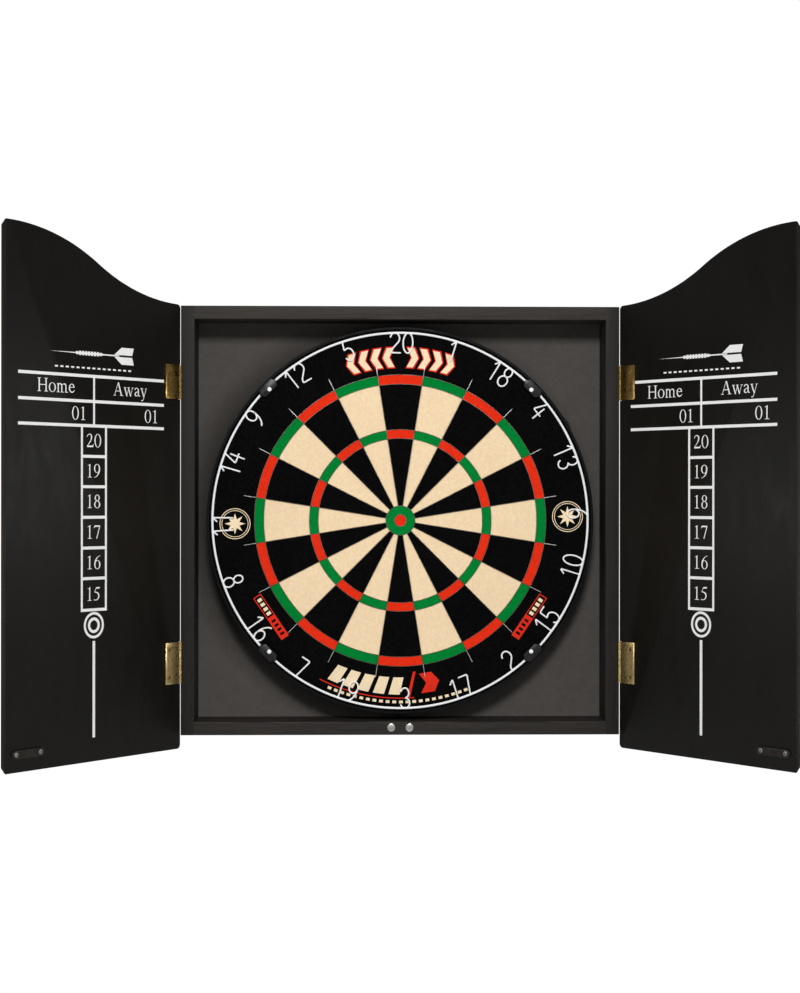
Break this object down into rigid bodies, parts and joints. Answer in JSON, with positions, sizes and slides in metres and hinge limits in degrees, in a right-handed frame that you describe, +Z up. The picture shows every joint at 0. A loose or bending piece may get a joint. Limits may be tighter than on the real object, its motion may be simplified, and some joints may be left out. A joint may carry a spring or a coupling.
{
  "type": "dart board cabinet",
  "caption": "Square wall cabinet with two arched scoreboard doors on butt hinges, holding a round bristle dart board with a wire number ring on a wall bracket.",
  "frame": {"origin": "centre of the cabinet's rear face, which lies against the wall", "axes": "+Z up, +X to the right of someone facing the open front, +Y into the wall, so the front faces -Y"},
  "size_m": [0.8474, 0.2611, 0.5835],
  "materials": {
    "carcass": "charcoal wood-grain laminate, satin",
    "back_panel": "charcoal laminate, matt",
    "door": "black satin writing surface with printed white scoring lines",
    "brass": "antiqued brass plate",
    "steel": "bright steel",
    "dark_steel": "dark zinc",
    "black_plastic": "moulded black plastic",
    "white_wire": "white powder-coated wire",
    "sisal": "compressed bristle, dyed black, cream, red and green",
    "rim": "black painted steel band",
    "backing": "bare particle board"
  },
  "bodies": {
    "cabinet": {"back_panel": "back_panel", "bracket_screw_1": "steel", "bracket_screw_2": "steel", "bracket_screw_3": "steel", "cabinet_bottom": "carcass", "cabinet_side_left": "carcass", "cabinet_side_right": "carcass", "cabinet_top": "carcass", "hinge_left_lower_cabinet_leaf": "brass", "hinge_left_lower_pin": "brass", "hinge_left_upper_cabinet_leaf": "brass", "hinge_left_upper_pin": "brass", "hinge_right_lower_cabinet_leaf": "brass", "hinge_right_lower_pin": "brass", "hinge_right_upper_cabinet_leaf": "brass", "hinge_right_upper_pin": "brass", "magnet_left": "steel", "magnet_right": "steel", "wall_bracket": "black_plastic"},
    "door_left": {"door_left": "door", "hinge_left_lower_door_leaf": "brass", "hinge_left_lower_screw_1": "brass", "hinge_left_lower_screw_2": "brass", "hinge_left_upper_door_leaf": "brass", "hinge_left_upper_screw_1": "brass", "hinge_left_upper_screw_2": "brass", "strike_left_screw_1": "steel", "strike_left_screw_2": "steel", "strike_plate_left": "dark_steel"},
    "door_right": {"door_right": "door", "hinge_right_lower_door_leaf": "brass", "hinge_right_lower_screw_1": "brass", "hinge_right_lower_screw_2": "brass", "hinge_right_upper_door_leaf": "brass", "hinge_right_upper_screw_1": "brass", "hinge_right_upper_screw_2": "brass", "strike_plate_right": "dark_steel", "strike_right_screw_1": "steel", "strike_right_screw_2": "steel"},
    "dart_board": {"board_backing": "backing", "board_hub": "black_plastic", "bull_ring": "steel", "rim_band": "rim", "ring_clip_1": "black_plastic", "ring_clip_2": "black_plastic", "ring_clip_3": "black_plastic", "ring_clip_4": "black_plastic", "ring_clip_pin_1": "white_wire", "ring_clip_pin_2": "white_wire", "ring_clip_pin_3": "white_wire", "ring_clip_pin_4": "white_wire", "sisal_face": "sisal", "spider": "steel"},
    "number_ring": {"number_ring": "white_wire"},
    "levelling_wheel_1": {"levelling_wheel_1": "black_plastic"},
    "levelling_wheel_2": {"levelling_wheel_2": "black_plastic"},
    "levelling_wheel_3": {"levelling_wheel_3": "black_plastic"}
  },
  "joints": [
    {"name": "door_left_hinge", "type": "hinge", "parent": "cabinet", "child": "door_left", "pos_m": [-0.2555, -0.0621, 0], "axis": [0, 0, -1], "range_deg": [-130, 50]},
    {"name": "door_right_hinge", "type": "hinge", "parent": "cabinet", "child": "door_right", "pos_m": [0.2555, -0.0621, 0], "axis": [0, 0, 1], "range_deg": [-128.5, 51.5]},
    {"name": "board_turn", "type": "hinge", "parent": "cabinet", "child": "dart_board", "pos_m": [0, -0.03, 0], "axis": [0, 1, 0], "continuous": true},
    {"name": "number_ring_turn", "type": "hinge", "parent": "dart_board", "child": "number_ring", "pos_m": [0, -0.0545, 0], "axis": [0, 1, 0], "continuous": true},
    {"name": "wheel_1_turn", "type": "hinge", "parent": "cabinet", "child": "levelling_wheel_1", "pos_m": [0.18619, -0.011, 0.1075], "axis": [0, 1, 0], "range_deg": [-180, 180]},
    {"name": "wheel_2_turn", "type": "hinge", "parent": "cabinet", "child": "levelling_wheel_2", "pos_m": [-0.18619, -0.011, 0.1075], "axis": [0, 1, 0], "range_deg": [-180, 180]},
    {"name": "wheel_3_turn", "type": "hinge", "parent": "cabinet", "child": "levelling_wheel_3", "pos_m": [0, -0.011, -0.215], "axis": [0, 1, 0], "range_deg": [-180, 180]}
  ]
}
